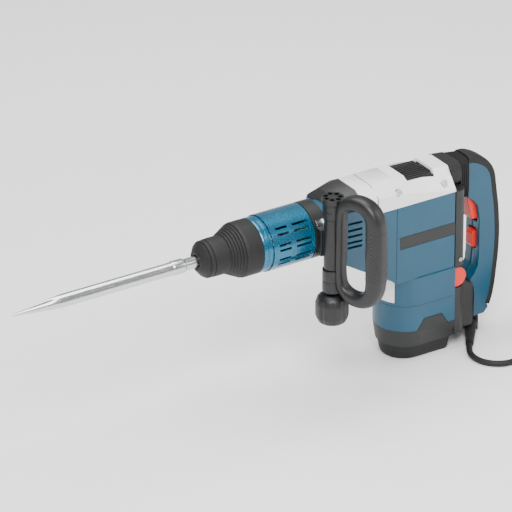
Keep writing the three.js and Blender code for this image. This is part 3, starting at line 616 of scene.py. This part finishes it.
makeSoftBack(gripSet)
makeBellows(bellowsSet)
for springSet in springSets:
    makeSpring(springSet)
makeLowerBellows(lowFoldSet)
print("handles made")

# ribbed insert in the silver housing's top
insertSet = {"x": (-20.2, 28.2), "half": 29.2, "pitch": 5.4, "rib": 1.6}


def makeInsert(v):
    """Height field: z = sloping roof - rib where the wave along y is low, with a flat underside."""
    x = np.linspace(*v["x"], 60)
    y = np.linspace(-v["half"], v["half"], 240)
    wave = np.cos(2 * np.pi * y / v["pitch"])
    edge = np.clip((v["half"] - np.abs(y)) / 2.5, 0, 1)
    roof = np.interp(x, v["x"], (299.0, 297.2))[:, None] - v["rib"] * np.clip(0.5 - 2 * wave, 0, 1)[None]
    roof = roof - 2.4 * (1 - edge)[None] - 0.03 * np.abs(y)[None] ** 1.1
    floor = np.broadcast_to(np.interp(x, v["x"], (293.6, 290.7))[:, None], roof.shape)
    gridX = np.broadcast_to(x[:, None], roof.shape)
    gridY = np.broadcast_to(y[None], roof.shape)
    top = np.stack([gridX, gridY, roof], -1)
    under = np.stack([gridX, gridY, floor], -1)[:, ::-1]
    standsFor(gridPiece("top_vent_ribbed", np.concatenate([top, under], 1), "black_plastic"),
              "top_vent_insert")


makeInsert(insertSet)

# raised lips along the seams, carried round the housings' outlines, and dark strips of painted shade where
# the housings have grooves
gearOutline = [(-107.6, -44.6), (-48, -45.5), (57.2, -45.5), (57.2, 45.5), (-48, 45.5), (-107.6, 44.6)]
# the motor housing is as wide as the object there, so its lips stop at 100 degrees, short of the far flank
frontArc = np.radians(np.linspace(100, 270, 40))
motorOutline = [*np.stack([-3 + 47 * np.cos(frontArc), 47 * np.sin(frontArc)], -1), (57.2, -47)]
lipSets = [
    {"name": "gear_seam_lip", "z": 266.4, "high": 4.4, "proud": 0.9, "slot": "silver_casting",
     "outline": gearOutline, "corner": 4},
    {"name": "trim_top_line", "z": 215.2, "high": 0.9, "proud": 0.15, "slot": "black_plastic", "corner": 2,
     "outline": [(-47.6, -45.5), (57.2, -45.5), (57.2, 45.5), (-47.6, 45.5)]},
    # black band at z = 93.5: painted shade standing in for the motor housing's low groove
    {"name": "motor_groove_painted_shade", "z": 93.5, "high": 0.9, "proud": 0.12, "slot": "black_plastic",
     "outline": motorOutline, "corner": 0.5, "open": True},
    {"name": "motor_ledge_lip", "z": 138.6, "high": 2.0, "proud": 0.45, "slot": "blue_housing",
     "outline": motorOutline, "corner": 0.5, "open": True},
]


def makeLip(v):
    """A small rounded rectangle carried round an outline: outer = outline + proud * outward normal."""
    whole = not v.get("open")
    path = softProfile(v["outline"], v["corner"], whole, 7)
    tangent = np.roll(path, -1, 0) - np.roll(path, 1, 0) if whole else np.gradient(path, axis=0)
    tangent /= np.linalg.norm(tangent, axis=1, keepdims=True)
    outward = np.stack([tangent[:, 1], -tangent[:, 0]], -1)
    section = softProfile([(-1.2, 0), (v["proud"], 0), (v["proud"], v["high"]), (-1.2, v["high"])], 0.45)
    flat = path[:, None] + section[None, :, :1] * outward[:, None]
    grid = np.concatenate([flat, np.broadcast_to(v["z"] + section[None, :, 1:], (*flat.shape[:2], 1))], -1)
    addsTo(gridPiece(v["name"], grid, v["slot"], wrapRows=whole), "housing")


for lipSet in lipSets:
    makeLip(lipSet)

# dark strip across the gear housing's crown at x = -82: painted shade standing in for a groove
grooveShadeSet = {"x": -82, "wide": 1.1, "proud": 0.12,
            "crown": [(-44.95, 271.6), (-44.95, 290.7), (-22.2, 304.5), (22.2, 304.5), (44.95, 290.7),
                      (44.95, 271.6)]}


def makeGrooveShade(v):
    """An open outline over the crown at one x, thickened by a small rectangle along its normal, in dark
    plastic as painted groove shade.
    """
    path = softProfile(v["crown"], 1.2, False, 5)
    tangent = np.gradient(path, axis=0)
    tangent /= np.linalg.norm(tangent, axis=1, keepdims=True)
    outward = np.stack([-tangent[:, 1], tangent[:, 0]], -1)
    section = np.array([(0, -0.6), (v["wide"], -0.6), (v["wide"], v["proud"]), (0, v["proud"])])
    flat = path[:, None] + section[None, :, 1:] * outward[:, None]
    across = np.broadcast_to(v["x"] + section[None, :, :1], (*flat.shape[:2], 1))
    addsTo(gridPiece("gear_groove_painted_shade", np.concatenate([across, flat], -1), "dark_plastic"), "housing")


makeGrooveShade(grooveShadeSet)
print("details made")

# floor and soft studio light
studioSet = {"floor": "#fafaf9", "size": 12, "world": 0.5,
             "lamps": (("key", (-1.4, -2.0, 2.6), 1.6, 135), ("fill", (2.2, -1.6, 1.6), 1.8, 38),
                       ("top", (-0.2, 0.6, 2.8), 2.2, 95))}  # name, place, size in metres, watts


def makeStudio(v):
    half = v["size"]
    mesh = bpy.data.meshes.new("studio_floor")
    corners = [(-half, -half, 0), (half, -half, 0), (half, half, 0), (-half, half, 0)]
    mesh.from_pydata(corners, [], [(0, 1, 2, 3)])
    sweep = {"base": v["floor"], "second": "#f6f6f5", "rough": (0.8, 0.9), "grainMm": 3.0, "depthMm": 0.01}
    mesh.materials.append(surface("paperSweepMatt", sweep))
    floor = bpy.data.objects.new("studio_floor", mesh)
    bpy.context.scene.collection.objects.link(floor)
    world = bpy.data.worlds.new("studio")
    world.use_nodes = True
    world.node_tree.nodes["Background"].inputs["Color"].default_value = (1, 1, 1, 1)
    world.node_tree.nodes["Background"].inputs["Strength"].default_value = v["world"]
    bpy.context.scene.world = world
    for name, place, size, power in v["lamps"]:
        lamp = bpy.data.lights.new(name, "AREA")
        lamp.size = size
        lamp.energy = power
        holder = bpy.data.objects.new(name, lamp)
        bpy.context.scene.collection.objects.link(holder)
        holder.location = place
        aim = Vector((-0.15, 0, 0.18)) - Vector(place)
        holder.rotation_mode = "QUATERNION"
        holder.rotation_quaternion = aim.to_track_quat("-Z", "Y")


makeStudio(studioSet)
